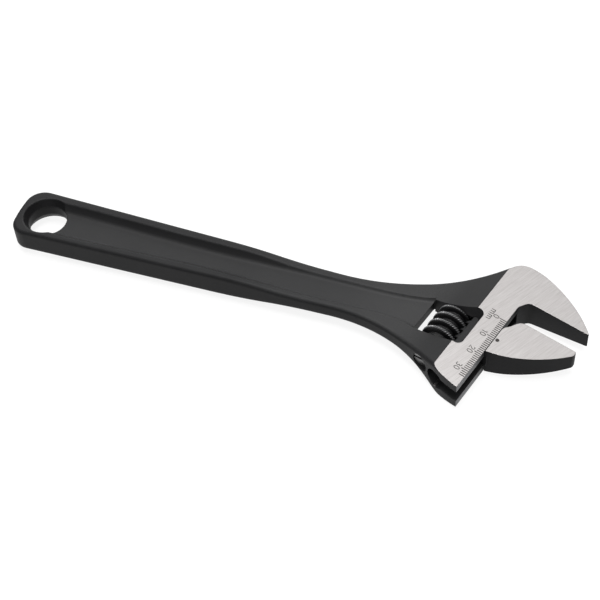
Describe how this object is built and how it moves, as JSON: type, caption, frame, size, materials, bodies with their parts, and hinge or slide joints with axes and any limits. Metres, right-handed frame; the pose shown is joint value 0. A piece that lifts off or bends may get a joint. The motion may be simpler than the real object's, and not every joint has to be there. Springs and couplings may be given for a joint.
{
  "type": "adjustable wrench",
  "caption": "Adjustable wrench with an I-section handle, a fixed jaw and a sliding jaw that a knurled worm moves along a rack.",
  "frame": {"origin": "centre of the hang hole, in the wrench's mid-plane", "axes": "+X along the handle towards the jaws, +Y to the fixed jaw's side, +Z out of the marked face; the jaws point 15 degrees from +X towards -Y"},
  "size_m": [0.2532, 0.0686, 0.0156],
  "materials": {
    "body_steel": "black phosphated forging, head faces ground and satin polished",
    "jaw_steel": "ground and satin polished faces, black phosphated sides",
    "worm_steel": "black phosphated, cross knurled crests",
    "pin_steel": "turned, dull",
    "spring_steel": "drawn wire"
  },
  "bodies": {
    "body": {"wrench_body": "body_steel", "worm_pin": "pin_steel", "worm_spring": "spring_steel"},
    "jaw": {"sliding_jaw": "jaw_steel"},
    "worm": {"worm_knurl": "worm_steel"}
  },
  "joints": [
    {"name": "jaw_slide", "type": "slide", "parent": "body", "child": "jaw", "axis": [-0.2588, -0.9659, 0], "range_m": [-0.0102, 0.023]},
    {"name": "worm_spin", "type": "hinge", "parent": "body", "child": "worm", "pos_m": [0.18388, -0.00385, 0], "axis": [0.2588, 0.9659, 0], "range_deg": [-860, 1930]}
  ],
  "couplings": [
    {"joint": "worm_spin", "follows": "jaw_slide", "rad_per_m": 1461.2}
  ]
}
